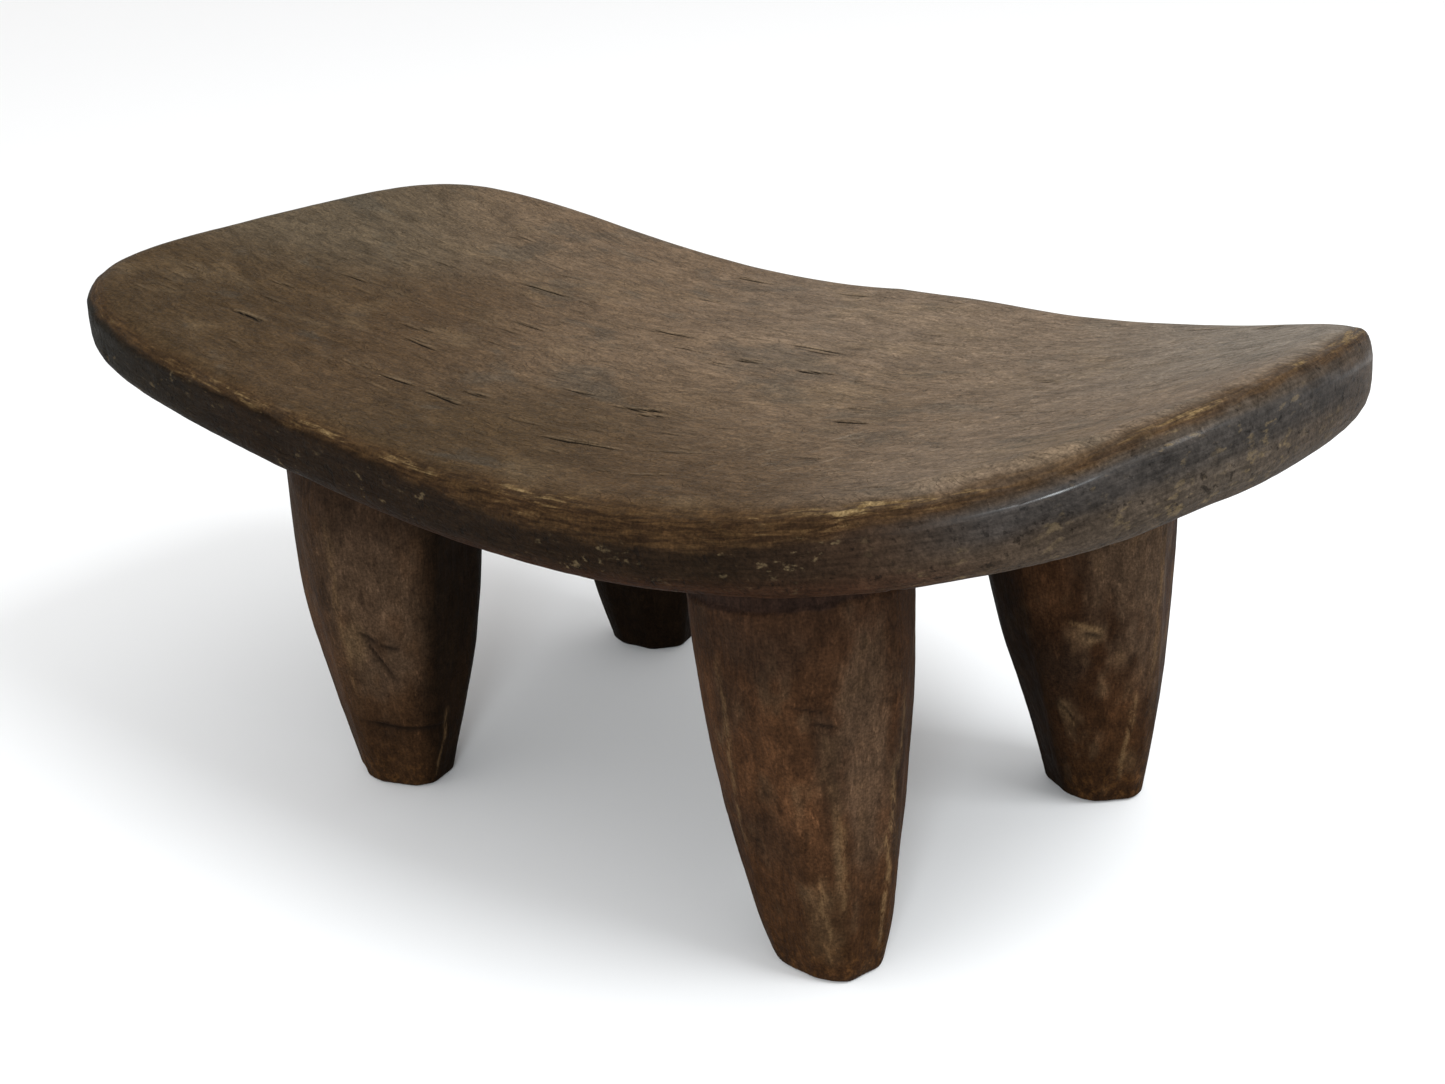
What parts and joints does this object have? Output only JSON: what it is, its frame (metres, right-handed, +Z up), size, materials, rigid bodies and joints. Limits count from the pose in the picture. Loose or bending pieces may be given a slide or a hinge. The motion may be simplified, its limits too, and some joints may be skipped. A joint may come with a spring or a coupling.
{
  "type": "headrest",
  "caption": "Low carved wooden headrest or stool: a saddle-shaped oblong seat with rounded rim and upturned ends on tapering oval legs.",
  "frame": {"origin": "on the floor, under the middle of the seat's bounding box", "axes": "+X along the seat towards its thicker, higher end, +Y towards the back, +Z up"},
  "size_m": [0.44, 0.2242, 0.1806],
  "materials": {
    "seat_wood": "hand-carved, worn grey-brown top with fine grain slits and a dark waxy rim",
    "leg_wood": "hand-adzed, dark brown patina with reddish wear, satin"
  },
  "bodies": {
    "root": {"seat": "seat_wood", "leg_front_left": "leg_wood", "leg_front_right": "leg_wood", "leg_rear_right": "leg_wood", "leg_rear_left": "leg_wood"}
  },
  "joints": []
}
